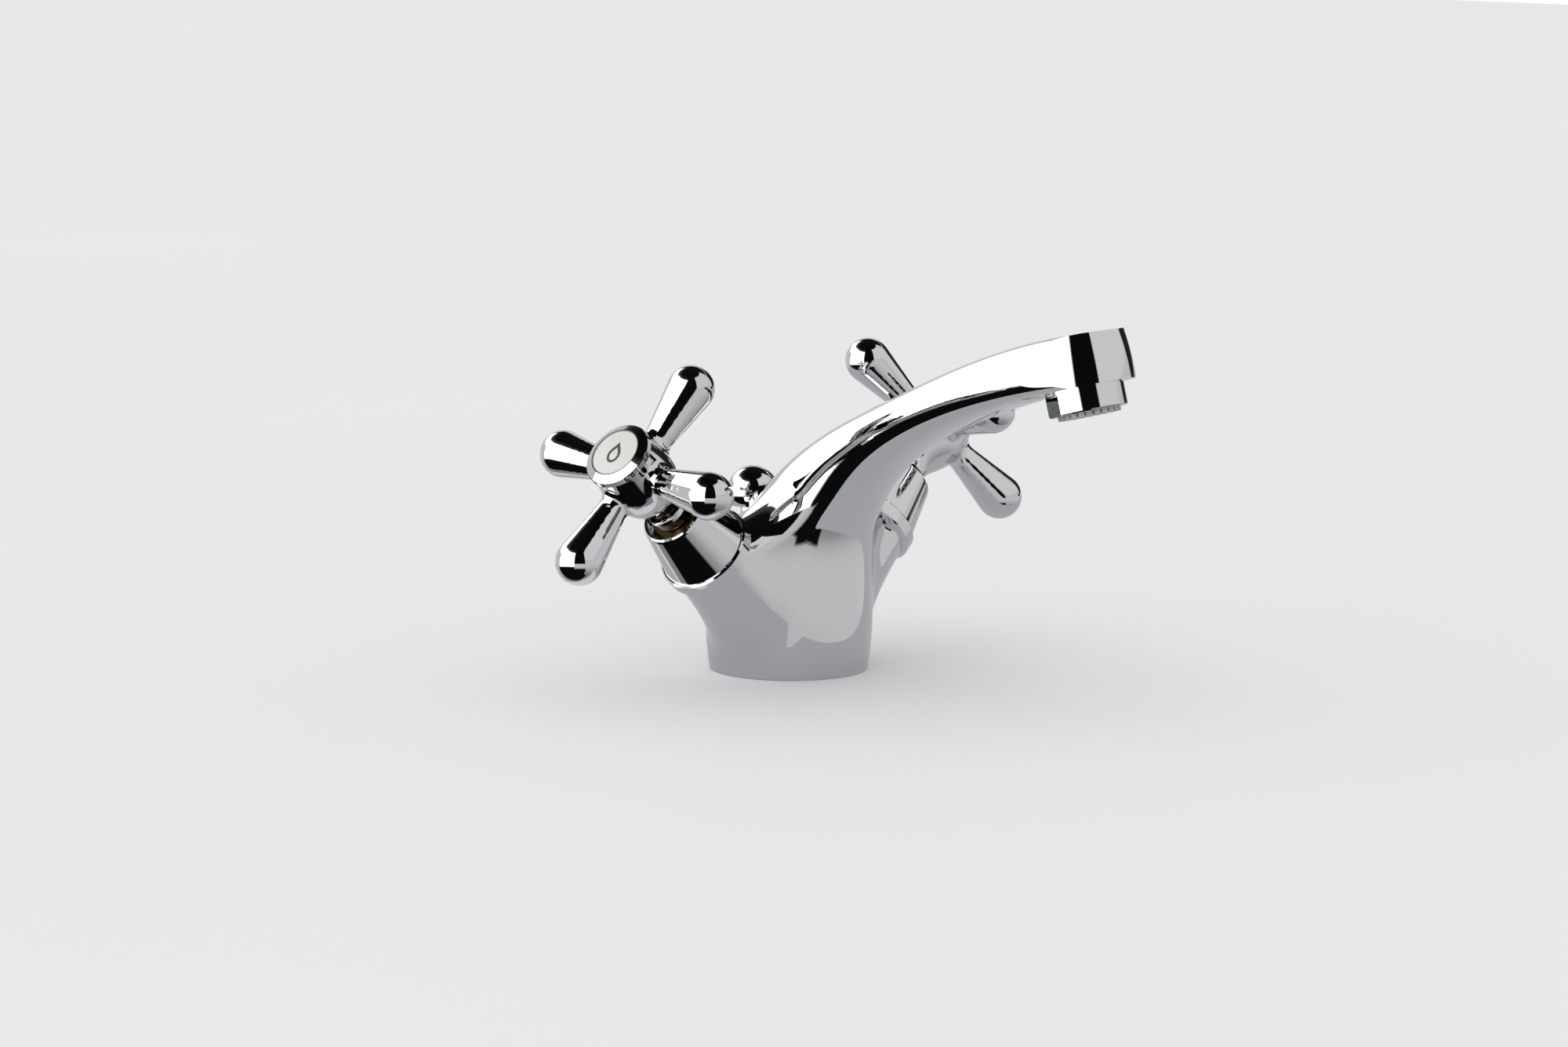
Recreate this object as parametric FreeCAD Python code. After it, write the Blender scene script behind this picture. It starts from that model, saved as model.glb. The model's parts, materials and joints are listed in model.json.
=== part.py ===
import FreeCAD, Part
import math
import os

# Basin mixer tap with two cross handles and a pop-up lift rod.
# Millimetres, +Z up, origin at the centre of the base on the deck.
# The spout points to -Y, the hot handle is at -X and the cold one at +X.

V = FreeCAD.Vector
UP = V(0, 0, 1)

# cast body
base_d = 50.0
belly = 1.2
belly_z = 12.0
spout_reach = 114.7
outlet_z = 98.0
outlet_tilt = 15.0
head_d = 31.6
spout_w = 28.6
mix_z = 36.0
water_d = 9.2

# deck side of the body
inlet_d = 10.0
inlet_l = 11.0
inlet_x = 8.5
inlet_y = 2.0
seal_edge = 1.4
seal_w = 2.4
seal_h = 2.0

# ceramic discs and their seat
disc_d = 14.8
disc_h = 3.0
disc_port_d = 4.2
disc_clear = 0.4
seat_h = 4.4
seat_wall = 2.5
film = 0.05

# spindle
stem_d = 8.0
driver_h = 3.0
key_l = 7.0
key_w = 2.6
key_h = 1.2
groove = 1.0
ring_h = 1.8
clip_h = 0.8
splines = 20
fit = 0.05

# valve arms, measured from where the two arm axes cross
arm_tilt = 40.0
arm_cross_z = 8.0
arm_end = 54.0
arm_root_w = 42.0
arm_root_in = 4.0
root_clear = 0.2
saddle_r = 24.0
neck_step = 1.5
collar_wall = 4.4
collar_h = 4.2
cage_wall = 1.2
thread_step = 1.1
valve_thread_l = 17.0
chamber_l = 12.0
port_d = 7.2

# shroud and the headwork under it
shroud_h = 18.4
shroud_top_d = 20.4
shroud_wall = 1.2
shroud_step = 1.0
hex_h = 5.0
flange_h = 1.5
neck_sink = 1.4
neck_clear = 1.4

# cross handle
handle_gap = 2.6
hub_h = 18.9
hub_d = 22.6
hub_neck_d = 12.8
hub_top = 8.7
hub_wall = 3.1
arm_reach = 32.3
arm_ball_d = 14.6
arm_thin_d = 7.4
root_r = 3.2
hot_turn = -7.2
cold_turn = -21.9
screw_d = 4.0
screw_l = 14.0
screw_head_d = 7.4
screw_head_h = 3.0
stem_drop = 4.0

# cap and index disc
cap_inset = 0.4
cap_h = 2.2
cap_bevel = 1.2
cap_rim = 3.0
cap_skirt = 4.4
knurl_count = 92
index_h = 1.1

# aerator
aerator_d = 24.0
aerator_h = 7.3
aerator_thread_l = 7.5
aerator_lip = 1.3
aerator_wall = 1.7
flat_cut = 1.0
jet_slots = 24
jet_d = 1.4

# pop-up lift rod
rod_d = 4.5
rod_low = -85.0
rod_clear = 0.3
link_d = 4.0
link_l = 30.0
knob_d = 16.4
knob_z = 54.2
knob_clear = 0.8
lift = 18.0
bush_wall = 1.0
bush_l = 14.0
bush_lip = 1.5
bush_lip_h = 2.0
bush_edge = 1.25

# deck fixing
stud_d = 8.0
stud_y = -11.0
stud_in = 12.0
stud_low = -72.0
stud_clear = 0.2
deck_t = 27.0
clamp_d = 47.0
clamp_slot = 31.0
clamp_bridge = 3.0
clamp_h = 2.5
rubber_h = 3.0
nut_flats = 13.0
nut_h = 6.5
nut_flange = 1.5

# sizes and levels that follow from the ones above
arm_root_d = min(arm_root_w, base_d - 2 * arm_root_in)
seal_d = base_d - 2 * seal_edge
rod_y = seal_d / 2 - seal_w - rod_d / 2 - bush_wall - bush_lip - bush_edge
cage_d = disc_d + 2 * disc_clear
chamber_d = cage_d + 2 * cage_wall + 2 * disc_clear
valve_thread_d = chamber_d + 2 * thread_step
collar_d = valve_thread_d + 2 * collar_wall
valve_floor = arm_end - valve_thread_l - chamber_l
disc_s = valve_floor + seat_h
moving_s = disc_s + disc_h + film
driver_s = moving_s + disc_h
ring_s = arm_end + flange_h + 1.5
shroud_s = arm_end + shroud_h
neck_s = shroud_s - neck_sink
neck_d = shroud_top_d - 2 * shroud_wall - 2 * neck_clear
hub_s = shroud_s + handle_gap
handle_s = hub_s + hub_h
stem_s = handle_s - stem_drop
cap_s = handle_s + hub_top
pocket_d = hub_d - 2 * hub_wall
cap_d = hub_d - 2 * cap_inset
index_d = cap_d - 2 * cap_rim
jet_bore = aerator_d / 2 - aerator_wall


def turned(outline):
    # a solid of revolution about Z from radius and height pairs
    points = [V(r, 0, s) for r, s in outline]
    face = Part.Face(Part.makePolygon(points + points[:1]))
    return face.revolve(V(), UP, 360)


def tube(outer_d, inner_d, low, high):
    return turned([(outer_d / 2, low), (outer_d / 2, high), (inner_d / 2, high), (inner_d / 2, low)])


def rod(d, low, high, x=0, y=0):
    return Part.makeCylinder(d / 2, high - low, V(x, y, low))


def hexagon(flats, low, high):
    r = flats / math.sqrt(3)
    corners = [V(r * math.cos(k * math.pi / 3), r * math.sin(k * math.pi / 3), low) for k in range(7)]
    return Part.Face(Part.makePolygon(corners)).extrude(V(0, 0, high - low))


def toothed(outer_d, depth, teeth, low, high):
    # a star outline, as on a knurl or a splined shaft
    points = []
    for k in range(2 * teeth + 1):
        r = outer_d / 2 - (k % 2) * depth
        a = k * math.pi / teeth
        points.append(V(r * math.cos(a), r * math.sin(a), low))
    return Part.Face(Part.makePolygon(points)).extrude(V(0, 0, high - low))


def key(low):
    # tongue that turns the moving disc with the spindle
    return Part.makeBox(key_l, key_w, key_h, V(-key_l / 2, -key_w / 2, low))


def framed(x_dir, z_dir, origin):
    # a placement with the given local X and Z directions
    y_dir = z_dir.cross(x_dir)
    return FreeCAD.Placement(FreeCAD.Matrix(
        x_dir.x, y_dir.x, z_dir.x, origin.x,
        x_dir.y, y_dir.y, z_dir.y, origin.y,
        x_dir.z, y_dir.z, z_dir.z, origin.z,
        0, 0, 0, 1))


def moved(shape, place):
    copy = shape.copy()
    copy.Placement = place.multiply(copy.Placement)
    return copy


def on_arm(shape, side):
    # local Z runs outward along the arm axis, local X to the front
    a = math.radians(arm_tilt)
    axis = V(side * math.cos(a), 0, math.sin(a))
    return moved(shape, framed(V(0, -1, 0), axis, V(0, 0, arm_cross_z)))


def on_outlet(shape):
    # local Z runs down the outlet axis from the head's lower face, local Y forward
    a = math.radians(outlet_tilt)
    axis = V(0, -math.sin(a), -math.cos(a))
    return moved(shape, framed(V(1, 0, 0), axis, V(0, -spout_reach, outlet_z)))


def spout_rails():
    # crest line, lower line and the law of half width and squareness
    r = base_d / 2
    b = base_d / 2 + belly
    w = spout_w / 2
    h = head_d / 2

    def at(y, z):
        return V(0, -y * spout_reach, z * outlet_z)

    crest = [V(0, r, 0), V(0, b, belly_z),
             V(0, 0.9 * r, 0.296 * outlet_z), V(0, 0.56 * r, 0.439 * outlet_z),
             at(-0.013, 0.60), at(0.126, 0.746), at(0.318, 0.870),
             at(0.575, 1.008), at(0.872, 1.130), at(1.186, 1.197)]
    lower = [V(0, -r, 0), V(0, -b, belly_z),
             V(0, -1.03 * r, 0.286 * outlet_z), V(0, -1.04 * r, 0.418 * outlet_z),
             at(0.257, 0.510), at(0.314, 0.605), at(0.427, 0.725),
             at(0.636, 0.854), at(0.881, 0.957), at(1.229, 1.041)]
    law = [V(r, 2, 2), V(b, 2, 2), V(r, 2.1, 2.1), V(0.88 * r, 2.4, 2.2),
           V(1.36 * w, 2.8, 2.3), V(1.15 * w, 2.7, 2.3), V(1.05 * w, 2.6, 2.3),
           V(w, 3, 2.6), V(h, 5, 4.5), V(h, 6, 6)]
    steps = [0.0]
    for k in range(1, len(crest)):
        steps.append(steps[-1] + (crest[k] + lower[k] - crest[k - 1] - lower[k - 1]).Length / 2)
    rails = []
    for points in (crest, lower, law):
        curve = Part.BSplineCurve()
        curve.interpolate(Points=points, Parameters=steps)
        rails.append(curve)
    return rails, steps[-1]


def skin_ring(crest, lower, law, around):
    # control points of one squared oval, swollen so that the spline passes the oval
    mid = (crest + lower) / 2
    half = (crest - lower) / 2
    swell = 3 / (2 + math.cos(2 * math.pi / around))
    ring = []
    for k in range(around):
        a = 2 * math.pi * (k + 0.5) / around
        power = 2 / (law.y if math.sin(a) > 0 else law.z)
        across = math.copysign(abs(math.cos(a)) ** power, math.cos(a))
        along = math.copysign(abs(math.sin(a)) ** power, math.sin(a))
        ring.append(mid + V(swell * law.x * across, 0, 0) + half * (swell * along))
    return ring


def column():
    # base, body and spout as one smooth spline skin with flat ends
    (crest, lower, law), end = spout_rails()
    around = 24
    rows = 30
    net = []
    for k in range(rows + 1):
        t = end * k / rows
        net.append(skin_ring(crest.value(t), lower.value(t), law.value(t), around))
    skin = Part.BSplineSurface()
    skin.buildFromPolesMultsKnots(
        net, [4] + [1] * (rows - 3) + [4], [1] * (around + 1),
        list(range(rows - 1)), list(range(around + 1)), False, True, 3, 3)
    face = skin.toShape()
    ends = [e for e in face.Edges if e.BoundBox.XLength > head_d / 2]
    shell = Part.makeShell([face] + [Part.Face(Part.Wire(e)) for e in ends])
    shell.sewShape()
    return Part.makeSolid(shell)


def arm():
    # flared arm that ends in a round collar and starts inside the body, clear of the deck
    n = collar_d / 2 - neck_step
    r = collar_d / 2
    a = math.radians(arm_tilt)
    foot = (arm_root_d / 2 * math.cos(a) + root_clear - arm_cross_z) / math.sin(a)
    neck = arm_end - collar_h - 1.2
    flare = Part.BSplineCurve()
    middle = (n + arm_root_d / 2) / 2
    flare.interpolate([V(arm_root_d / 2, 0, foot), V(middle - 0.4, 0, 0.44 * arm_end),
                       V(n + 1.1, 0, 0.66 * arm_end), V(n, 0, neck)])
    line = [V(n, 0, neck), V(r - 0.3, 0, neck + 0.8), V(r, 0, neck + 1.2), V(r, 0, arm_end - 0.5),
            V(r - 0.5, 0, arm_end), V(0, 0, arm_end), V(0, 0, foot), V(arm_root_d / 2, 0, foot)]
    wire = Part.Wire([flare.toShape()] + Part.makePolygon(line).Edges)
    return Part.Face(wire).revolve(V(), UP, 360)


def head_trim():
    # what is taken off the spout end: all outside the round nose and its flat sides, all below the flat face
    r = head_d / 2
    nose = Part.Arc(V(r, 0, 0.1), V(r - 0.15, 0, -0.57 * r), V(r - 0.95, 0, -r)).toShape()
    sides = Part.makePolygon([V(r - 0.95, 0, -r), V(r - 0.95, 0, -2.6 * r), V(0, 0, -2.6 * r),
                              V(0, 0, 0.1), V(r, 0, 0.1)])
    half = Part.Face(Part.Wire([nose] + sides.Edges))
    back = half.extrude(V(0, -2 * r, 0))
    plug = half.revolve(V(), UP, 360).fuse([back, back.mirror(V(), V(1, 0, 0))])
    ahead = Part.makeBox(4 * r, 4 * r, 2.7 * r, V(-2 * r, -1.5 * r, -2.6 * r)).cut(plug)
    below = Part.makeBox(4 * r, 5 * r, 1.3 * r, V(-2 * r, 1 - r, 0))
    return [on_outlet(ahead), on_outlet(below)]


def mixing_point():
    return V(0, -0.11 * base_d, mix_z)


def waterway():
    # curved bore through the middle of the spout into the outlet
    (crest, lower, law), end = spout_rails()
    a = math.radians(outlet_tilt)
    rise = aerator_thread_l - 1.5
    points = [mixing_point()]
    for share in (0.32, 0.42, 0.54, 0.66):
        points.append((crest.value(share * end) + lower.value(share * end)) / 2)
    points.append(V(0, -spout_reach + rise * math.sin(a), outlet_z + rise * math.cos(a)))
    path = Part.BSplineCurve()
    path.interpolate(points)
    start = Part.Wire(Part.makeCircle(water_d / 2, points[0], path.tangent(0)[0]))
    return Part.Wire(path.toShape()).makePipeShell([start], True, True)


def valve_bores(side):
    # thread, chamber and supply port of one valve, and its way to the spout
    low = arm_end - valve_thread_l
    bores = rod(valve_thread_d, low, arm_end).fuse(
        [rod(chamber_d, valve_floor, low), rod(port_d, inlet_x + 0.5, valve_floor)])
    a = math.radians(arm_tilt)
    s = low - 0.3 * chamber_l
    start = V(side * s * math.cos(a), 0, arm_cross_z + s * math.sin(a))
    run = mixing_point() - start
    cross = Part.makeCylinder(port_d / 2, run.Length, start, run)
    supply = rod(inlet_d - 2, 0, inlet_l + 5, side * inlet_x, inlet_y)
    thread = rod(inlet_d, 0, inlet_l, side * inlet_x, inlet_y)
    return [on_arm(bores, side), cross, supply, thread]


def knob_hollow():
    # scoop behind the spout for the knob at rest and lifted
    scoop = Part.makeSphere(knob_d / 2 + knob_clear, V(0, rod_y, knob_z))
    return scoop.fuse(rod(knob_d + 2 * knob_clear, knob_z, knob_z + 2 * lift, 0, rod_y))


def mixer_body():
    solid = column().fuse([on_arm(arm(), -1), on_arm(arm(), 1)])
    saddles = []
    for edge in solid.Edges:
        kinds = {type(f.Surface).__name__ for f in solid.ancestorsOfType(edge, Part.Face)}
        if kinds == {"BSplineSurface", "SurfaceOfRevolution"}:
            saddles.append(edge)
    solid = solid.makeFillet(saddle_r, saddles)
    cuts = head_trim() + valve_bores(-1) + valve_bores(1)
    cuts += [waterway(), on_outlet(rod(aerator_d, -aerator_thread_l - 1, 0.1)), knob_hollow(), base_gasket()]
    cuts.append(rod(stud_d, 0, stud_in, 0, stud_y))
    cuts.append(rod(rod_d + 2 * rod_clear, 0, knob_z, 0, rod_y))
    cuts.append(rod(rod_d + 2 * bush_wall, 0, bush_l, 0, rod_y))
    cuts.append(rod(rod_d + 2 * bush_wall + 2 * bush_lip, 0, bush_lip_h, 0, rod_y))
    for cut in cuts:
        solid = solid.cut(cut)
    return solid


def base_gasket():
    return tube(seal_d, seal_d - 2 * seal_w, 0, seal_h)


def aerator_housing():
    r = aerator_d / 2
    lip = jet_bore - 0.8
    shell = turned([(r, -aerator_thread_l), (r, aerator_h - 0.4), (r - 0.4, aerator_h), (lip, aerator_h),
                    (lip, aerator_h - 1), (jet_bore, aerator_h - 1), (jet_bore, -aerator_thread_l)])
    flats = []
    for side in (0, 180):
        flat = Part.makeBox(4, aerator_d, aerator_h, V(r - flat_cut, -r, 1))
        flat.rotate(V(), UP, side + 30)
        flats.append(flat)
    return on_outlet(shell.cut(flats))


def aerator_insert():
    # plastic core with radial slots round its lower rim and rings of jets
    low = aerator_h - 1
    front = aerator_h + aerator_lip
    top = -aerator_thread_l + 1
    core = turned([(0, top), (jet_bore, top), (jet_bore, low), (jet_bore - 0.8, low),
                   (jet_bore - 0.8, front), (0, front)])
    slot = Part.makeBox(3, 0.8, 2, V(jet_bore - 3, -0.4, aerator_h + 0.1))
    cuts = []
    for k in range(jet_slots):
        cuts.append(moved(slot, FreeCAD.Placement(V(), UP, 360 * k / jet_slots)))
    for ring, count in ((0.21 * jet_bore, 6), (0.45 * jet_bore, 12)):
        for k in range(count):
            a = 2 * math.pi * k / count
            cuts.append(rod(jet_d, top - 1, front + 1, ring * math.cos(a), ring * math.sin(a)))
    return on_outlet(core.cut(cuts))


def aerator_screen():
    # shallow strainer dish on top of the core
    top = -aerator_thread_l
    dish = turned([(0, top + 0.4), (jet_bore - 2, top + 0.4), (jet_bore, top + 1), (jet_bore, top + 0.6),
                   (jet_bore - 1.8, top), (0, top)])
    rim = tube(2 * jet_bore, 2 * jet_bore - 3, top + 0.6, top + 1)
    return on_outlet(dish.fuse(rim))


def aerator_washer():
    return on_outlet(tube(aerator_d, aerator_d - 6, -aerator_thread_l - 1, -aerator_thread_l))


def shroud_r(s):
    # outer radius of the conical shroud at a level
    r0 = collar_d / 2 - shroud_step
    return r0 - (r0 - shroud_top_d / 2) * (s - arm_end) / shroud_h


def shroud(side):
    # conical cover that stands on the collar, with a web on the headwork's neck
    r = shroud_top_d / 2
    web = arm_end + 0.55 * shroud_h
    cover = turned([(shroud_r(arm_end), arm_end), (r + 0.2, shroud_s - 1.2), (r - 0.1, shroud_s - 0.4),
                    (r - 0.6, shroud_s), (r - 0.8 * shroud_wall, shroud_s - 0.1),
                    (r - shroud_wall, shroud_s - 0.6),
                    (shroud_r(web + 2) - shroud_wall, web + 2), (neck_d / 2, web + 2), (neck_d / 2, web),
                    (shroud_r(web) - shroud_wall, web), (shroud_r(arm_end) - shroud_wall, arm_end)])
    return on_arm(cover, side)


def headwork(side):
    # brass valve barrel: seat end, thread, flange, hexagon and neck
    r = valve_thread_d / 2
    low = arm_end - valve_thread_l
    foot = disc_s - 1
    roof = driver_s + driver_h + 3
    cage = cage_d / 2
    skirt = cage + cage_wall
    bore = stem_d / 2 + fit
    flange = arm_end + flange_h
    flange_r = shroud_r(flange) - shroud_wall - disc_clear
    body = turned([(cage, foot), (skirt, foot), (skirt, low), (r, low), (r, arm_end), (flange_r, arm_end),
                   (flange_r, flange), (neck_d / 2, flange), (neck_d / 2, neck_s - 0.5),
                   (neck_d / 2 - 0.5, neck_s), (bore, neck_s), (bore, roof), (cage, roof)])
    hex_flats = math.sqrt(3) * (shroud_r(flange + hex_h) - shroud_wall - disc_clear)
    nut = hexagon(hex_flats, flange, flange + hex_h)
    body = body.fuse(nut.cut(rod(neck_d - 0.2, arm_end, neck_s)))
    window = Part.makeBox(chamber_d, 6, disc_h + 1, V(-chamber_d / 2, -3, moving_s))
    return on_arm(body.cut(window), side)


def seat_seal(side):
    return on_arm(tube(disc_d, disc_d - 2 * seat_wall, valve_floor, disc_s), side)


def fixed_disc(side):
    # ceramic disc with two openings, held in the foot of the headwork
    high = disc_s + disc_h
    ports = [rod(disc_port_d, disc_s, high, 0.26 * disc_d * k) for k in (-1, 1)]
    return on_arm(rod(cage_d, disc_s, high).cut(ports), side)


def moving_disc(side):
    # ceramic disc that opens its two notches over the ports when turned
    high = moving_s + disc_h
    notches = [rod(disc_port_d + 0.8, moving_s, high, 0, 0.42 * disc_d * k) for k in (-1, 1)]
    return on_arm(rod(disc_d, moving_s, high).cut(notches + [key(high - key_h)]), side)


def spindle(side):
    # driver with a key for the disc, round stem with a seal groove and a clip groove, splined end
    driver = driver_s + driver_h
    splined = hub_s + 1
    stem = rod(stem_d, driver, splined).fuse(
        [rod(disc_d, driver_s, driver), toothed(stem_d + 0.2, 0.3, splines, splined, stem_s),
         key(driver_s - key_h)])
    seal = tube(stem_d + 2, stem_d - 2 * groove, ring_s, ring_s + ring_h)
    clip = tube(stem_d + 2, stem_d - 2 * groove, neck_s + 0.4, neck_s + 0.4 + clip_h)
    return on_arm(stem.cut([seal, clip, rod(screw_d, handle_s - screw_l - 2, stem_s)]), side)


def spindle_seal(side):
    # ring that fills its groove and lies along the bore
    ring = Part.makeTorus(stem_d / 2 - 0.1 * groove, 0.48 * ring_h, V(0, 0, ring_s + ring_h / 2))
    return on_arm(ring.common(tube(stem_d, stem_d - 2 * groove, ring_s, ring_s + ring_h)), side)


def spindle_clip(side):
    low = neck_s + 0.4
    ring = tube(stem_d + 3.4, stem_d - 2 * groove, low, low + clip_h)
    return on_arm(ring.cut(Part.makeBox(stem_d, 3, 4, V(0, -1.5, neck_s - 1))), side)


def teardrop():
    # one handle arm along Z: a cone that runs smoothly into a ball
    u = 0.35 * hub_d
    foot = 0.18 * hub_d
    thin = arm_thin_d / 2
    ball = arm_ball_d / 2
    d = math.hypot(arm_reach - u, thin)
    lean = math.asin(ball / d) - math.atan2(thin, arm_reach - u)
    run = math.sqrt(d * d - ball * ball)
    meet = V(thin + run * math.sin(lean), 0, u + run * math.cos(lean))
    side = V(ball * math.cos(math.pi / 4), 0, arm_reach + ball * math.sin(math.pi / 4))
    end = V(0, 0, arm_reach + ball)
    dome = Part.Arc(meet, side, end).toShape()
    line = Part.makePolygon([end, V(0, 0, foot), V(thin, 0, foot), V(thin, 0, u), meet])
    return Part.Face(Part.Wire([dome] + line.Edges)).revolve(V(), UP, 360)


def hub():
    # turned hub: slim neck, flared underside and barrel
    n = hub_neck_d / 2
    r = hub_d / 2
    side = Part.BSplineCurve()
    side.interpolate([V(n, 0, hub_s), V(n, 0, hub_s + 0.14 * hub_h),
                      V(0.5 * (n + r) - 0.35, 0, hub_s + 0.38 * hub_h),
                      V(r - 0.3, 0, handle_s - 0.32 * hub_h), V(r, 0, handle_s), V(r - 0.7, 0, cap_s)])
    line = Part.makePolygon([V(r - 0.7, 0, cap_s), V(0, 0, cap_s), V(0, 0, hub_s), V(n, 0, hub_s)])
    return Part.Face(Part.Wire([side.toShape()] + line.Edges)).revolve(V(), UP, 360)


def handle(side, turn):
    arms = []
    for k in range(4):
        spoke = moved(teardrop(), FreeCAD.Placement(V(0, 0, handle_s), FreeCAD.Rotation(V(0, 1, 0), 90)))
        arms.append(moved(spoke, FreeCAD.Placement(V(), UP, turn + 90 * k)))
    cross = hub().fuse(arms)
    roots = []
    for edge in cross.Edges:
        kinds = {type(f.Surface).__name__ for f in cross.ancestorsOfType(edge, Part.Face)}
        if kinds == {"SurfaceOfRevolution", "Cone"}:
            roots.append(edge)
    cross = cross.makeFillet(root_r, roots)
    socket = rod(stem_d + 0.2, hub_s, stem_s)
    return on_arm(cross.cut([socket, rod(screw_d + 0.4, hub_s, cap_s), rod(pocket_d, handle_s, cap_s)]), side)


def handle_screw(side):
    high = handle_s + screw_head_h
    screw = rod(screw_d, handle_s - screw_l, high).fuse(rod(screw_head_d, handle_s, high))
    return on_arm(screw.cut(hexagon(0.75 * screw_d, handle_s + 1, high)), side)


def cap_ring(side):
    # knurled cap screwed into the hub, with a bevelled front and a seat for the index disc
    edge = cap_s + cap_h
    front = edge + cap_bevel
    seat = front - index_h
    hollow = pocket_d - 3
    knurl = toothed(cap_d, 0.25, knurl_count, cap_s + 0.3, edge - 0.2)
    foot = rod(cap_d - 0.6, cap_s, cap_s + 0.3)
    bevel = turned([(0, edge - 0.2), (cap_d / 2 - 0.35, edge - 0.2), (cap_d / 2 - 0.35, edge),
                    (index_d / 2 + 0.3, front), (0, front)])
    skirt = tube(pocket_d, hollow, cap_s - cap_skirt, cap_s)
    cap = knurl.fuse([foot, bevel, skirt])
    return on_arm(cap.cut([rod(index_d, seat, front), rod(hollow, cap_s - cap_skirt, seat - 1.2)]), side)


def index_disc(side):
    front = cap_s + cap_h + cap_bevel
    r = index_d / 2
    low = front - index_h
    disc = turned([(0, low), (r, low), (r, front - 0.35), (r - 0.3, front - 0.15), (0, front - 0.05)])
    return on_arm(disc, side)


def lift_rod():
    # round bar whose lower end is turned down for the linkage clamp
    link = rod_low + link_l
    return rod(rod_d, link, knob_z, 0, rod_y).fuse(rod(link_d, rod_low, link, 0, rod_y))


def lift_knob():
    # ball cut flat below, on a short stem
    r = knob_d / 2
    cut = Part.makeBox(4 * r, 4 * r, r, V(-2 * r, rod_y - 2 * r, knob_z - 1.52 * r))
    ball = Part.makeSphere(r, V(0, rod_y, knob_z)).cut(cut)
    stem = rod(rod_d + 3.4, knob_z - 0.92 * r, knob_z - 0.4 * r, 0, rod_y)
    return ball.fuse(stem).cut(rod(rod_d, knob_z - 2 * r, knob_z, 0, rod_y))


def rod_bush():
    # plastic guide pushed into the foot of the body
    bush = rod(rod_d + 2 * bush_wall, 0, bush_l, 0, rod_y)
    lip = rod(rod_d + 2 * bush_wall + 2 * bush_lip, 0, bush_lip_h, 0, rod_y)
    return bush.fuse(lip).cut(rod(rod_d + 2 * fit, 0, bush_l, 0, rod_y))


def fixing_stud():
    return rod(stud_d, stud_low, stud_in, 0, stud_y)


def horseshoe(low, high):
    # open plate under the deck that leaves the supply hoses and the lift rod free
    plate = rod(clamp_d, low, high)
    back = stud_y + stud_d / 2 + clamp_bridge
    slot = Part.makeBox(clamp_slot, clamp_d, high - low, V(-clamp_slot / 2, back, low))
    return plate.cut([slot, rod(stud_d + 2 * stud_clear, low, high, 0, stud_y)])


def clamp_rubber():
    return horseshoe(-deck_t - rubber_h, -deck_t)


def clamp_plate():
    return horseshoe(-deck_t - rubber_h - clamp_h, -deck_t - rubber_h)


def fixing_nut():
    top = -deck_t - rubber_h - clamp_h
    nut = hexagon(nut_flats, top - nut_h, top).fuse(rod(nut_flats + 2 * nut_flange, top - 1.5, top))
    nut = nut.cut(rod(stud_d, top - nut_h, top))
    nut.translate(V(0, stud_y, 0))
    return nut


def main():
    os.makedirs("parts", exist_ok=True)
    shapes = {"mixer_body": mixer_body(), "base_gasket": base_gasket(), "aerator_housing": aerator_housing(),
              "aerator_insert": aerator_insert(), "aerator_screen": aerator_screen(),
              "aerator_washer": aerator_washer(), "lift_rod": lift_rod(), "lift_knob": lift_knob(),
              "rod_bush": rod_bush(), "fixing_stud": fixing_stud(), "clamp_rubber": clamp_rubber(),
              "clamp_plate": clamp_plate(), "fixing_nut": fixing_nut()}
    for name, side, turn in (("hot", -1, hot_turn), ("cold", 1, cold_turn)):
        shapes[name + "_shroud"] = shroud(side)
        shapes[name + "_headwork"] = headwork(side)
        shapes[name + "_seat_seal"] = seat_seal(side)
        shapes[name + "_fixed_disc"] = fixed_disc(side)
        shapes[name + "_moving_disc"] = moving_disc(side)
        shapes[name + "_spindle"] = spindle(side)
        shapes[name + "_spindle_seal"] = spindle_seal(side)
        shapes[name + "_spindle_clip"] = spindle_clip(side)
        shapes[name + "_handle"] = handle(side, turn)
        shapes[name + "_handle_screw"] = handle_screw(side)
        shapes[name + "_cap_ring"] = cap_ring(side)
        shapes[name + "_index_disc"] = index_disc(side)
    for name, shape in shapes.items():
        shape.exportStep("parts/" + name + ".step")


main()
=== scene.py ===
import json
import math
import bpy
import numpy as np
from mathutils import Matrix, Vector
from mathutils.kdtree import KDTree


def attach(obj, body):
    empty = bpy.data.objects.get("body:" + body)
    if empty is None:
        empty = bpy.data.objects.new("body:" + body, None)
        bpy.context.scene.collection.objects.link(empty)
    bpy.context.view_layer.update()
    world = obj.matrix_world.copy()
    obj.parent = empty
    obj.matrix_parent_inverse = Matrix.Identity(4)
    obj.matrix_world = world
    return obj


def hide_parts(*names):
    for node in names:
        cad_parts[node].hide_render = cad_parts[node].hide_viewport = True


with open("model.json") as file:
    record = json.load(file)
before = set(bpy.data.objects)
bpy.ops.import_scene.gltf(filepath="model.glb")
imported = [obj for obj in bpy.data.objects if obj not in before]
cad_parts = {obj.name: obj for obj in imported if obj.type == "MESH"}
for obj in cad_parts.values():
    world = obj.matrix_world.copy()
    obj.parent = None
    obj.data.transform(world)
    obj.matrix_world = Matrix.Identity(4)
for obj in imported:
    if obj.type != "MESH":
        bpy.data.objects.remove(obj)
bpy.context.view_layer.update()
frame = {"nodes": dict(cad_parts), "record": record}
nodes = frame["nodes"]
print("frame loaded:", len(nodes), "nodes")


# small helpers for node trees

def addNode(tree, kind, place, **values):
    node = tree.nodes.new(kind)
    node.location = place
    for name, value in values.items():
        setattr(node, name, value)
    return node


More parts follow.
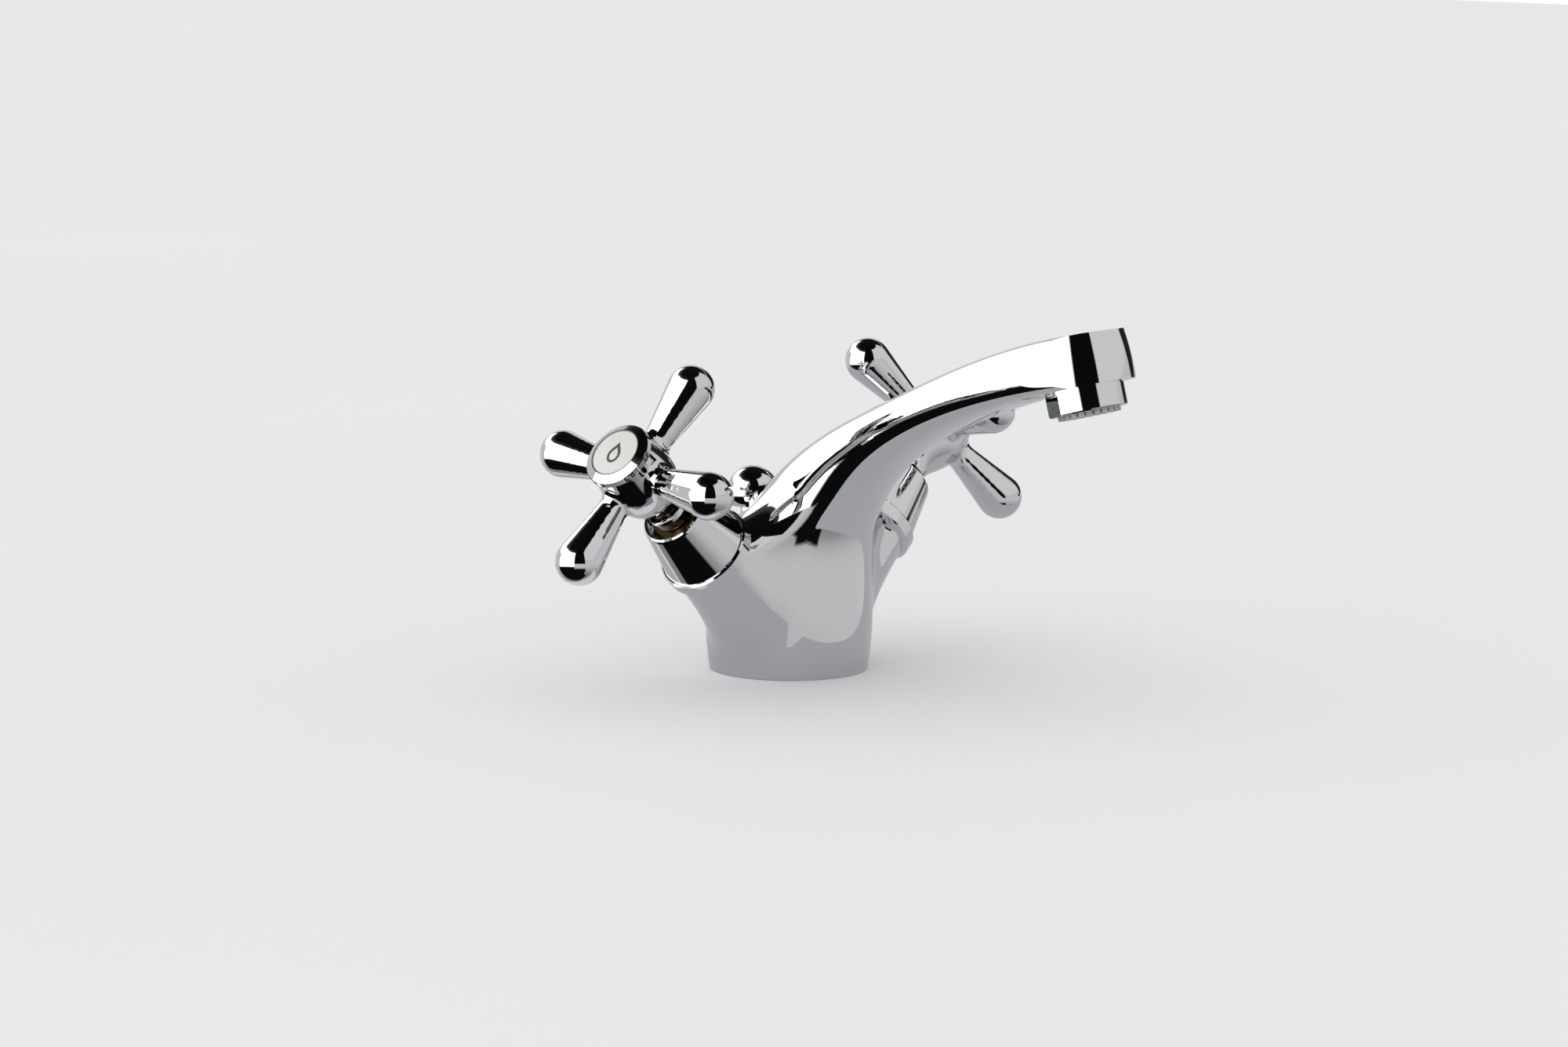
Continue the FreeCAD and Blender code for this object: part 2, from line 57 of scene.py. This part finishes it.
def setInputs(node, **values):
    for name, value in values.items():
        node.inputs[name.replace("_", " ")].default_value = value


def newGroup(name, inputs, outputs):
    tree = bpy.data.node_groups.new(name, "ShaderNodeTree")
    for label, kind, value in inputs:
        socket = tree.interface.new_socket(label, in_out="INPUT", socket_type=kind)
        if value is not None:
            socket.default_value = value
    for label, kind in outputs:
        tree.interface.new_socket(label, in_out="OUTPUT", socket_type=kind)
    start = addNode(tree, "NodeGroupInput", (-900, 0))
    end = addNode(tree, "NodeGroupOutput", (700, 0))
    return tree, start, end


def newMaterial(name):
    mat = bpy.data.materials.new(name)
    mat.use_nodes = True
    tree = mat.node_tree
    shader = tree.nodes["Principled BSDF"]
    shader.location = (300, 0)
    coords = addNode(tree, "ShaderNodeTexCoord", (-900, 0))
    return mat, tree, shader, coords


def useGroup(tree, group, place, **values):
    node = addNode(tree, "ShaderNodeGroup", place)
    node.node_tree = group
    setInputs(node, **values)
    return node


# effects that several finishes share

marksLook = {"smearDetail": 3.0, "smearRoughness": 0.55, "smearDistortion": 0.6, "smearFrom": 0.42, "smearTo": 0.72,
             "speckDetail": 1.0, "speckRoughness": 0.5, "speckFrom": 0.62, "speckTo": 0.8, "speckShare": 0.5}
grainLook = {"cloudScale": 60.0, "cloudDetail": 4.0}
latheLook = {"distortion": 1.2, "detail": 2.0}
bumpHeight = 0.0001  # metres, for grain and cutting lines


def makeHandlingMarks(look):
    # faint wiped film: broad smears and fine specks, put out as roughness and as a mask for the tint
    tree, start, end = newGroup(
        "handlingMarks",
        [("Vector", "NodeSocketVector", None), ("Smear Scale", "NodeSocketFloat", 18.0),
         ("Speck Scale", "NodeSocketFloat", 900.0), ("Clean", "NodeSocketFloat", 0.02),
         ("Wiped", "NodeSocketFloat", 0.06)],
        [("Roughness", "NodeSocketFloat"), ("Mask", "NodeSocketFloat")])
    smear = addNode(tree, "ShaderNodeTexNoise", (-600, 150))
    setInputs(smear, Detail=look["smearDetail"], Roughness=look["smearRoughness"],
              Distortion=look["smearDistortion"])
    speck = addNode(tree, "ShaderNodeTexNoise", (-600, -150))
    setInputs(speck, Detail=look["speckDetail"], Roughness=look["speckRoughness"])
    soft = addNode(tree, "ShaderNodeMapRange", (-350, 150), interpolation_type="SMOOTHSTEP")
    setInputs(soft, From_Min=look["smearFrom"], From_Max=look["smearTo"])
    fine = addNode(tree, "ShaderNodeMapRange", (-350, -150), interpolation_type="SMOOTHSTEP")
    setInputs(fine, From_Min=look["speckFrom"], From_Max=look["speckTo"], To_Max=look["speckShare"])
    both = addNode(tree, "ShaderNodeMath", (-100, 0), operation="MAXIMUM")
    rough = addNode(tree, "ShaderNodeMapRange", (200, 100))
    link = tree.links.new
    link(start.outputs["Vector"], smear.inputs["Vector"])
    link(start.outputs["Vector"], speck.inputs["Vector"])
    link(start.outputs["Smear Scale"], smear.inputs["Scale"])
    link(start.outputs["Speck Scale"], speck.inputs["Scale"])
    link(smear.outputs["Fac"], soft.inputs["Value"])
    link(speck.outputs["Fac"], fine.inputs["Value"])
    link(soft.outputs["Result"], both.inputs[0])
    link(fine.outputs["Result"], both.inputs[1])
    link(both.outputs["Value"], rough.inputs["Value"])
    link(start.outputs["Clean"], rough.inputs["To Min"])
    link(start.outputs["Wiped"], rough.inputs["To Max"])
    link(rough.outputs["Result"], end.inputs["Roughness"])
    link(both.outputs["Value"], end.inputs["Mask"])
    return tree


def makeMouldGrain(look):
    # fine even grain of moulded pieces, put out as a height, and a cloudy tone
    tree, start, end = newGroup(
        "mouldGrain",
        [("Vector", "NodeSocketVector", None), ("Grain Scale", "NodeSocketFloat", 1800.0)],
        [("Height", "NodeSocketFloat"), ("Tone", "NodeSocketFloat")])
    cells = addNode(tree, "ShaderNodeTexVoronoi", (-600, 100), feature="SMOOTH_F1")
    cloud = addNode(tree, "ShaderNodeTexNoise", (-600, -200))
    setInputs(cloud, Scale=look["cloudScale"], Detail=look["cloudDetail"])
    link = tree.links.new
    link(start.outputs["Vector"], cells.inputs["Vector"])
    link(start.outputs["Vector"], cloud.inputs["Vector"])
    link(start.outputs["Grain Scale"], cells.inputs["Scale"])
    link(cells.outputs["Distance"], end.inputs["Height"])
    link(cloud.outputs["Fac"], end.inputs["Tone"])
    return tree


def makeLatheLines(look):
    # cutting lines of a turned piece, rings along the Z of the vector it is given
    tree, start, end = newGroup(
        "latheLines",
        [("Vector", "NodeSocketVector", None), ("Line Scale", "NodeSocketFloat", 900.0)],
        [("Height", "NodeSocketFloat")])
    wave = addNode(tree, "ShaderNodeTexWave", (-500, 0), wave_type="BANDS", bands_direction="Z")
    setInputs(wave, Distortion=look["distortion"], Detail=look["detail"])
    link = tree.links.new
    link(start.outputs["Vector"], wave.inputs["Vector"])
    link(start.outputs["Line Scale"], wave.inputs["Scale"])
    link(wave.outputs["Fac"], end.inputs["Height"])
    return tree


handlingMarks = makeHandlingMarks(marksLook)
mouldGrain = makeMouldGrain(grainLook)
latheLines = makeLatheLines(latheLook)
print("effect groups ready")


# finishes

turnedMarks = {"Smear_Scale": 60.0, "Speck_Scale": 700.0}
mouldedMarks = {"Smear_Scale": 40.0, "Speck_Scale": 600.0}


def addTint(tree, place, first, second):
    tint = addNode(tree, "ShaderNodeMix", place, data_type="RGBA")
    tint.inputs["A"].default_value = first
    tint.inputs["B"].default_value = second
    return tint


def makeChrome(name, look):
    # bright plating with a faint wiped film
    mat, tree, shader, coords = newMaterial(name)
    link = tree.links.new
    marks = useGroup(tree, handlingMarks, (-600, 100), Smear_Scale=look["smear"], Speck_Scale=look["speck"],
                     Clean=look["clean"], Wiped=look["wiped"])
    tint = addTint(tree, (0, 250), look["bright"], look["hazed"])
    setInputs(shader, Metallic=1.0)
    link(coords.outputs["Object"], marks.inputs["Vector"])
    link(marks.outputs["Mask"], tint.inputs["Factor"])
    link(tint.outputs["Result"], shader.inputs["Base Color"])
    link(marks.outputs["Roughness"], shader.inputs["Roughness"])
    return mat


def makeTurnedMetal(name, look):
    # machined metal: cutting lines round the piece, darker in the haze
    mat, tree, shader, coords = newMaterial(name)
    link = tree.links.new
    turn = addNode(tree, "ShaderNodeMapping", (-720, -200))
    turn.inputs["Rotation"].default_value = look["turn"]
    marks = useGroup(tree, handlingMarks, (-500, 200), Clean=look["clean"], Wiped=look["wiped"], **turnedMarks)
    lines = useGroup(tree, latheLines, (-500, -200), Line_Scale=look["lines"])
    tint = addTint(tree, (0, 250), look["bright"], look["hazed"])
    bump = addNode(tree, "ShaderNodeBump", (0, -250))
    setInputs(bump, Strength=look["depth"], Distance=bumpHeight)
    setInputs(shader, Metallic=1.0)
    link(coords.outputs["Object"], marks.inputs["Vector"])
    link(coords.outputs["Object"], turn.inputs["Vector"])
    link(turn.outputs["Vector"], lines.inputs["Vector"])
    link(marks.outputs["Mask"], tint.inputs["Factor"])
    link(tint.outputs["Result"], shader.inputs["Base Color"])
    link(marks.outputs["Roughness"], shader.inputs["Roughness"])
    link(lines.outputs["Height"], bump.inputs["Height"])
    link(bump.outputs["Normal"], shader.inputs["Normal"])
    return mat


def makeMoulded(name, look):
    # rubber, plastic, ceramic and enamel: grain, cloudy tone and a film
    mat, tree, shader, coords = newMaterial(name)
    link = tree.links.new
    grain = useGroup(tree, mouldGrain, (-600, -150), Grain_Scale=look["grain"])
    marks = useGroup(tree, handlingMarks, (-600, 200), Clean=look["clean"], Wiped=look["wiped"], **mouldedMarks)
    tint = addTint(tree, (0, 250), look["bright"], look["hazed"])
    bump = addNode(tree, "ShaderNodeBump", (0, -250))
    setInputs(bump, Strength=look["depth"], Distance=bumpHeight)
    setInputs(shader, Metallic=0.0, Coat_Weight=look["coat"])
    link(coords.outputs["Object"], grain.inputs["Vector"])
    link(coords.outputs["Object"], marks.inputs["Vector"])
    link(grain.outputs["Tone"], tint.inputs["Factor"])
    link(tint.outputs["Result"], shader.inputs["Base Color"])
    link(marks.outputs["Roughness"], shader.inputs["Roughness"])
    link(grain.outputs["Height"], bump.inputs["Height"])
    link(bump.outputs["Normal"], shader.inputs["Normal"])
    return mat


armTurn = math.radians(50)  # tips the lathe rings onto a slanted valve axis

finishes = {
    "chrome": makeChrome("brightChrome", {
        "smear": 16.0, "speck": 1200.0, "clean": 0.015, "wiped": 0.045,
        "bright": (0.63, 0.638, 0.648, 1), "hazed": (0.6, 0.608, 0.618, 1)}),
    # painted shade: the brass tones are darkened far below brass's own colour, standing in for the shade in the gap
    # under each handle; the darker hazed tone is the wiped film
    "brass": makeTurnedMetal("shadeDarkenedBrass", {
        "turn": (0, armTurn, 0), "lines": 700.0, "depth": 0.25, "clean": 0.2, "wiped": 0.38,
        "bright": (0.13, 0.08, 0.034, 1), "hazed": (0.055, 0.034, 0.015, 1)}),
    "steel": makeTurnedMetal("zincSteel", {
        "turn": (0, 0, 0), "lines": 500.0, "depth": 0.2, "clean": 0.22, "wiped": 0.4,
        "bright": (0.62, 0.62, 0.63, 1), "hazed": (0.5, 0.5, 0.51, 1)}),
    "rubber": makeMoulded("blackRubber", {
        "grain": 2200.0, "depth": 0.35, "coat": 0.0, "clean": 0.55, "wiped": 0.75,
        "bright": (0.03, 0.03, 0.031, 1), "hazed": (0.05, 0.05, 0.051, 1)}),
    "grey_plastic": makeMoulded("greyPlastic", {
        "grain": 2600.0, "depth": 0.15, "coat": 0.0, "clean": 0.38, "wiped": 0.55,
        "bright": (0.36, 0.37, 0.38, 1), "hazed": (0.42, 0.43, 0.44, 1)}),
    "ceramic": makeMoulded("lappedCeramic", {
        "grain": 3200.0, "depth": 0.04, "coat": 0.3, "clean": 0.12, "wiped": 0.22,
        "bright": (0.82, 0.81, 0.77, 1), "hazed": (0.78, 0.77, 0.72, 1)}),
    "enamel": makeMoulded("creamEnamel", {
        "grain": 1500.0, "depth": 0.02, "coat": 0.8, "clean": 0.16, "wiped": 0.26,
        "bright": (0.80, 0.79, 0.755, 1), "hazed": (0.77, 0.76, 0.72, 1)}),
}

for part in frame["record"]["subparts"]:
    for slot in nodes[part["node"]].material_slots:
        slot.material = finishes[part["material_slot"]]
print("finishes on all nodes")


# mirror skins: the plated castings with normals fitted to their curve and each side of the mesh split in two

mirrorSkins = {"mixer_body": ("body_skin", "tap"), "hot_handle": ("hot_handle_skin", "hot_valve"),
               "cold_handle": ("cold_handle_skin", "cold_valve")}
skinFit = {"neighbours": 18, "alike": 0.7, "soft": 0.3, "mostTurn": 4.0, "ridge": 0.001}
joinDigits = 7  # loose triangles are joined where their corners agree to this digit of a metre
leastLength = 1e-12
leastSquare = 1e-18


def readArray(items, name, width, kind):
    values = np.empty(len(items) * width, dtype=kind)
    items.foreach_get(name, values)
    return values.reshape(-1, width)


def unit(vectors):
    return vectors / np.maximum(np.linalg.norm(vectors, axis=-1, keepdims=True), leastLength)


def dots(first, second):
    return (first * second).sum(axis=-1, keepdims=True)


def fitNormals(points, normals, look):
    # a small curved patch through each point's neighbours gives its true slope
    tree = KDTree(len(points))
    for index, place in enumerate(points.tolist()):
        tree.insert(place, index)
    tree.balance()
    found = [tree.find_n(place, look["neighbours"]) for place in points.tolist()]
    near = np.array([[hit[1] for hit in hits] for hits in found])
    step = points[near] - points[:, None]
    steep = np.abs(normals[:, :1]) < 0.7
    across = unit(np.cross(normals, np.where(steep, [[1.0, 0, 0]], [[0, 1.0, 0]])))
    along = np.cross(normals, across)
    x, y, z = [dots(step, axis[:, None])[..., 0] for axis in (across, along, normals)]
    reach = np.sqrt(np.median(x * x + y * y, axis=1, keepdims=True) + leastSquare)
    x, y, z = x / reach, y / reach, z / reach
    alike = dots(normals[near], normals[:, None])[..., 0] > look["alike"]
    weight = alike / (look["soft"] + x * x + y * y)
    terms = np.stack([x, y, x * x, x * y, y * y, x ** 3, x * x * y, x * y * y, y ** 3], axis=2)
    squares = np.einsum("nk,nki,nkj->nij", weight, terms, terms) + look["ridge"] * np.eye(terms.shape[2])
    heights = np.einsum("nk,nki,nk->ni", weight, terms, z)
    slopes = np.linalg.solve(squares, heights[..., None])[..., 0]
    fitted = unit(normals - slopes[:, :1] * across - slopes[:, 1:2] * along)
    calm = dots(fitted, normals) > math.cos(math.radians(look["mostTurn"]))  # sharp edges keep their own
    return np.where(calm, fitted, normals)


def makeMirrorSkin(node, name, body):
    mesh = nodes[node].data
    loose = readArray(mesh.vertices, "co", 3, np.float32).astype(float)
    corners = readArray(mesh.loops, "vertex_index", 1, np.int32).reshape(-1, 3)
    normals = np.zeros_like(loose)
    normals[corners.reshape(-1)] = readArray(mesh.corner_normals, "vector", 3, np.float32)
    near = fitNormals(loose, unit(normals), skinFit)[corners]
    points, merged = np.unique(loose.round(joinDigits), axis=0, return_inverse=True)
    corners = merged.reshape(-1)[corners]
    whole = (corners != np.roll(corners, -1, axis=1)).all(axis=1)  # a few slivers close up when joined
    corners = corners[whole]
    near = near[whole]
    ahead = np.roll(corners, -1, axis=1)
    far = np.roll(near, -1, axis=1)
    run = points[ahead] - points[corners]
    rise = dots(run, near) * near - dots(run, far) * far
    turn = 2 * dots(run, near + far) / np.maximum(dots(run, run), leastSquare)
    middleNormals = unit(near + far - turn * run)
    sides = np.stack([np.minimum(corners, ahead), np.maximum(corners, ahead)], axis=2).reshape(-1, 2)
    edges, edgeOf = np.unique(sides, axis=0, return_inverse=True)
    edgeOf = edgeOf.reshape(-1)
    lift = np.zeros((len(edges), 3))
    np.add.at(lift, edgeOf, -rise.reshape(-1, 3) / 8)
    lift /= np.bincount(edgeOf)[:, None]
    places = np.vstack([points, points[edges].mean(axis=1) + lift])
    middles = (len(points) + edgeOf).reshape(-1, 3)
    faces = [middles]
    bends = [middleNormals]
    for corner in range(3):  # each corner with the middles of the two sides that meet there
        before = (corner + 2) % 3
        faces.append(np.stack([corners[:, corner], middles[:, corner], middles[:, before]], axis=1))
        bend = [near[:, corner], middleNormals[:, corner], middleNormals[:, before]]
        bends.append(np.stack(bend, axis=1))
    skinMesh = bpy.data.meshes.new(name)
    skinMesh.from_pydata(places.tolist(), [], np.vstack(faces).tolist())
    skinMesh.shade_smooth()
    skinMesh.normals_split_custom_set(np.vstack(bends).reshape(-1, 3).tolist())
    skin = bpy.data.objects.new(name, skinMesh)
    bpy.context.scene.collection.objects.link(skin)
    skinMesh.materials.append(finishes["chrome"])
    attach(skin, body)
    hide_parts(node)


for node, (name, body) in mirrorSkins.items():
    makeMirrorSkin(node, name, body)
print("mirror skins made")


# a plain water drop inlaid on each index disc

dropMark = {"width": 0.0044, "height": 0.0072, "stroke": 0.00072, "relief": 0.00012, "edge": 0.00003, "steps": 16,
            "join": 0.000002, "cross": (0, 0, 0.008), "tilt": 40.0}


def makeDropMark(name, disc, body, side, look):
    bpy.ops.object.select_all(action="DESELECT")
    bpy.ops.curve.primitive_bezier_circle_add(radius=look["width"] / 2)
    mark = bpy.context.object
    mark.name = name
    mark.data.dimensions = "2D"
    mark.data.fill_mode = "BOTH"
    mark.data.resolution_u = look["steps"]
    mark.data.extrude = look["relief"] / 2
    mark.data.bevel_depth = look["edge"]
    bpy.ops.object.mode_set(mode="EDIT")
    bpy.ops.curve.select_all(action="DESELECT")
    tip = max(mark.data.splines[0].bezier_points, key=lambda point: point.co.y)  # pulled up to a point
    tip.select_control_point = True
    bpy.ops.curve.handle_type_set(type="VECTOR")
    bpy.ops.transform.translate(value=(0, look["height"] - look["width"], 0))
    inner = 1 - 2 * look["stroke"] / look["width"]
    bpy.ops.curve.select_all(action="SELECT")
    bpy.ops.curve.duplicate()
    bpy.ops.transform.resize(value=(inner, inner, 1), center_override=(0, 0, 0))
    bpy.ops.object.mode_set(mode="OBJECT")
    bpy.ops.object.convert(target="MESH")
    tilt = math.radians(look["tilt"])
    out = Vector((side * math.cos(tilt), 0, math.sin(tilt)))
    across = Vector((0, side, 0))
    uphill = out.cross(across)
    cross = Vector(look["cross"])
    front = max((vertex.co - cross).dot(out) for vertex in nodes[disc].data.vertices)
    centre = cross + front * out - (look["height"] - look["width"]) / 2 * uphill
    mark.matrix_world = Matrix.Translation(centre) @ Matrix((across, uphill, out)).transposed().to_4x4()
    bpy.ops.object.transform_apply(location=True, rotation=True, scale=True)
    bpy.ops.object.mode_set(mode="EDIT")
    bpy.ops.mesh.select_all(action="SELECT")
    bpy.ops.mesh.remove_doubles(threshold=look["join"])
    bpy.ops.mesh.normals_make_consistent(inside=False)
    bpy.ops.object.mode_set(mode="OBJECT")
    mark.data.materials.clear()
    mark.data.materials.append(markEnamel)
    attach(mark, body)


markEnamel = makeMoulded("darkEnamel", {
    "grain": 1500.0, "depth": 0.02, "coat": 0.6, "clean": 0.2, "wiped": 0.32,
    "bright": (0.035, 0.034, 0.032, 1), "hazed": (0.05, 0.048, 0.045, 1)})
makeDropMark("hot_index_mark", "hot_index_disc", "hot_valve", -1, dropMark)
makeDropMark("cold_index_mark", "cold_index_disc", "cold_valve", 1, dropMark)
print("index marks on both caps")


# floor, and a deck block that only the plating mirrors: the spout and one handle hang over its edges; the deck's
# sides carry painted light and shade

plainLook = {"cloudScale": 3.0, "cloudDetail": 3.0, "roughness": 0.7, "specular": 0.1}
floorLook = {"size": 8.0, "drop": 0.0002, "pale": (0.83, 0.835, 0.84, 1), "shade": (0.80, 0.805, 0.81, 1)}
deckLook = {"left": -0.047, "right": 0.565, "front": -0.071, "back": 0.24, "drop": 0.0003, "depth": 0.4,
            "top": {"pale": (0.68, 0.69, 0.7, 1), "shade": (0.65, 0.66, 0.67, 1)},
            # painted light and shade: the left side is a brighter, painted lit copy of the deck's tone, and the
            # front side is a darker, painted shade copy
            "leftSide": {"pale": (0.95, 0.955, 0.96, 1), "shade": (0.9, 0.905, 0.91, 1)},
            "frontSide": {"pale": (0.3, 0.305, 0.31, 1), "shade": (0.27, 0.275, 0.28, 1)}}


def makePlain(name, look):
    mat, tree, shader, coords = newMaterial(name)
    cloud = addNode(tree, "ShaderNodeTexNoise", (-600, 0))
    setInputs(cloud, Scale=plainLook["cloudScale"], Detail=plainLook["cloudDetail"])
    tint = addTint(tree, (-200, 0), look["pale"], look["shade"])
    setInputs(shader, Roughness=plainLook["roughness"], Specular_IOR_Level=plainLook["specular"])
    tree.links.new(coords.outputs["Object"], cloud.inputs["Vector"])
    tree.links.new(cloud.outputs["Fac"], tint.inputs["Factor"])
    tree.links.new(tint.outputs["Result"], shader.inputs["Base Color"])
    return mat


def makeFloor(look):
    bpy.ops.object.select_all(action="DESELECT")
    bpy.ops.mesh.primitive_plane_add(size=look["size"], location=(0, 0, -look["drop"]))
    floor = bpy.context.object
    floor.name = "paleFloor"
    floor.data.materials.append(makePlain("paleFloor", look))
    floor.visible_glossy = False


def makeDeck(look):
    bpy.ops.object.select_all(action="DESELECT")
    middleX = (look["left"] + look["right"]) / 2
    middleY = (look["front"] + look["back"]) / 2
    middleZ = -look["drop"] - look["depth"] / 2
    bpy.ops.mesh.primitive_cube_add(size=1.0, location=(middleX, middleY, middleZ))
    deck = bpy.context.object
    deck.name = "mirroredDeck"
    deck.scale = (look["right"] - look["left"], look["back"] - look["front"], look["depth"])
    for side in ("top", "leftSide", "frontSide"):
        deck.data.materials.append(makePlain("deck" + side[0].upper() + side[1:], look[side]))
    for face in deck.data.polygons:  # the left face gets the painted lit tone and the front face the painted shade tone; the other faces keep the top's tone
        if face.normal.x < -0.5:
            face.material_index = 1
        elif face.normal.y < -0.5:
            face.material_index = 2
    deck.visible_camera = False
    deck.visible_diffuse = False
    deck.visible_shadow = False


makeFloor(floorLook)
makeDeck(deckLook)


# studio: a dark room with soft panels, laid out by azimuth from the front and by elevation

studio = {
    "ramp": [(-90, 0.28), (-50, 0.3), (-37, 0.42), (-27, 0.58), (-17, 0.7), (-8, 0.76), (30, 0.7),
             (44, 0.1), (58, 0.006), (90, 0.003)],  # elevation in degrees, brightness
    "panels": [  # left, right, bottom, top, softness in degrees, brightness
        ("leftLow", -165, -14, -95, -26, 3.0, 0.005),
        ("leftDown", -40, 5, -95, -54, 3.0, 0.005),
        ("leftSkirt", -165, -72, -30, -18, 2.0, 0.005),
        ("leftBox", -154, -72, -16, 47, 1.5, 2.6),
        ("backLeft", -181, -151, 19, 42, 1.5, 2.6),
        ("backRight", 152, 181, 19, 42, 1.5, 2.6),
        ("roomAhead", -70, -19, -3, 95, 1.5, 0.004),
        ("rightBox", -18, 72, 11, 60, 1.5, 0.86),
        ("rightDark", 76, 150, 34, 95, 4.0, 0.008),
        ("rightGap", 76, 112, -1, 31, 2.0, 0.02),
        ("rightSill", 62, 80, -4, 3, 1.5, 0.02),
    ],
    "soft": 1.0,
}


def makePanelMask():
    # one soft-edged window in azimuth and elevation: a gap to each of its four sides, eased and multiplied
    edges = ["Left", "Right", "Bottom", "Top"]
    tree, start, end = newGroup(
        "panelMask",
        [("Azimuth", "NodeSocketFloat", 0.0), ("Elevation", "NodeSocketFloat", 0.0)]
        + [(edge, "NodeSocketFloat", 0.0) for edge in edges] + [("Soft", "NodeSocketFloat", 0.03)],
        [("Mask", "NodeSocketFloat")])
    link = tree.links.new
    last = None
    for row, edge in enumerate(edges):
        gap = addNode(tree, "ShaderNodeMath", (-500, 300 - 200 * row), operation="SUBTRACT")
        measured = start.outputs["Azimuth" if row < 2 else "Elevation"]
        if row % 2 == 0:
            link(measured, gap.inputs[0])
            link(start.outputs[edge], gap.inputs[1])
        else:
            link(start.outputs[edge], gap.inputs[0])
            link(measured, gap.inputs[1])
        low = addNode(tree, "ShaderNodeMath", (-500, 220 - 200 * row), operation="MULTIPLY")
        low.inputs[1].default_value = -1.0
        link(start.outputs["Soft"], low.inputs[0])
        ease = addNode(tree, "ShaderNodeMapRange", (-200, 300 - 200 * row), interpolation_type="SMOOTHSTEP")
        link(gap.outputs["Value"], ease.inputs["Value"])
        link(low.outputs["Value"], ease.inputs["From Min"])
        link(start.outputs["Soft"], ease.inputs["From Max"])
        if last is None:
            last = ease.outputs["Result"]
        else:
            both = addNode(tree, "ShaderNodeMath", (100, 300 - 200 * row), operation="MULTIPLY")
            link(last, both.inputs[0])
            link(ease.outputs["Result"], both.inputs[1])
            last = both.outputs["Value"]
    link(last, end.inputs["Mask"])
    return tree


def makeStudio(look):
    world = bpy.data.worlds.new("studio")
    bpy.context.scene.world = world
    world.use_nodes = True
    tree = world.node_tree
    link = tree.links.new
    back = tree.nodes["Background"]
    coords = addNode(tree, "ShaderNodeTexCoord", (-1600, 0))
    split = addNode(tree, "ShaderNodeSeparateXYZ", (-1400, 0))
    flip = addNode(tree, "ShaderNodeMath", (-1200, -100), operation="MULTIPLY")
    flip.inputs[1].default_value = -1.0
    azimuth = addNode(tree, "ShaderNodeMath", (-1000, 0), operation="ARCTAN2")
    elevation = addNode(tree, "ShaderNodeMath", (-1000, -200), operation="ARCSINE")
    link(coords.outputs["Generated"], split.inputs["Vector"])
    link(split.outputs["Y"], flip.inputs[0])
    link(split.outputs["X"], azimuth.inputs[0])
    link(flip.outputs["Value"], azimuth.inputs[1])
    link(split.outputs["Z"], elevation.inputs[0])
    share = addNode(tree, "ShaderNodeMapRange", (-800, -200))
    setInputs(share, From_Min=-math.pi / 2, From_Max=math.pi / 2)
    link(elevation.outputs["Value"], share.inputs["Value"])
    ramp = addNode(tree, "ShaderNodeValToRGB", (-600, -200))
    stops = ramp.color_ramp.elements
    while len(stops) < len(look["ramp"]):
        stops.new(0.5)
    for stop, (angle, tone) in zip(stops, look["ramp"]):
        stop.position = (angle + 90) / 180
        stop.color = (tone, tone, tone, 1)
    link(share.outputs["Result"], ramp.inputs["Fac"])
    mask = makePanelMask()
    colour = ramp.outputs["Color"]
    for step, (name, left, right, bottom, top, soft, tone) in enumerate(look["panels"]):
        panel = useGroup(tree, mask, (-600 + 300 * step, 300), Left=math.radians(left),
                         Right=math.radians(right), Bottom=math.radians(bottom), Top=math.radians(top),
                         Soft=math.radians(soft))
        panel.label = name
        link(azimuth.outputs["Value"], panel.inputs["Azimuth"])
        link(elevation.outputs["Value"], panel.inputs["Elevation"])
        mix = addNode(tree, "ShaderNodeMix", (-600 + 300 * step, 0), data_type="RGBA")
        mix.inputs["B"].default_value = (tone, tone, tone, 1)
        link(panel.outputs["Mask"], mix.inputs["Factor"])
        link(colour, mix.inputs["A"])
        colour = mix.outputs["Result"]
    path = addNode(tree, "ShaderNodeLightPath", (800, 400))
    pick = addNode(tree, "ShaderNodeMix", (1100, 100), data_type="RGBA")
    pick.inputs["A"].default_value = (look["soft"], look["soft"], look["soft"], 1)  # all but the mirrored light
    link(path.outputs["Is Glossy Ray"], pick.inputs["Factor"])
    link(colour, pick.inputs["B"])
    link(pick.outputs["Result"], back.inputs["Color"])


makeStudio(studio)
print("studio ready")


# camera where the photograph was taken

view = {"place": (-1.1843022, -1.0066690, 0.2812665), "lens": 115.155, "sensor": 36.0, "near": 0.05, "far": 50.0,
        "right": (0.64910238, -0.76068225, 0.00534843), "up": (0.11071303, 0.10142459, 0.98866358),
        "back": (-0.7526013, -0.64115175, 0.15005238)}


def makeCamera(look):
    data = bpy.data.cameras.new("camera")
    data.lens = look["lens"]
    data.sensor_width = look["sensor"]
    data.sensor_fit = "HORIZONTAL"
    data.clip_start = look["near"]
    data.clip_end = look["far"]
    camera = bpy.data.objects.new("camera", data)
    bpy.context.scene.collection.objects.link(camera)
    axes = Matrix((look["right"], look["up"], look["back"])).transposed().to_4x4()
    camera.matrix_world = Matrix.Translation(look["place"]) @ axes
    bpy.context.scene.camera = camera


makeCamera(view)
bpy.context.scene.view_settings.view_transform = "Standard"
print("camera ready")
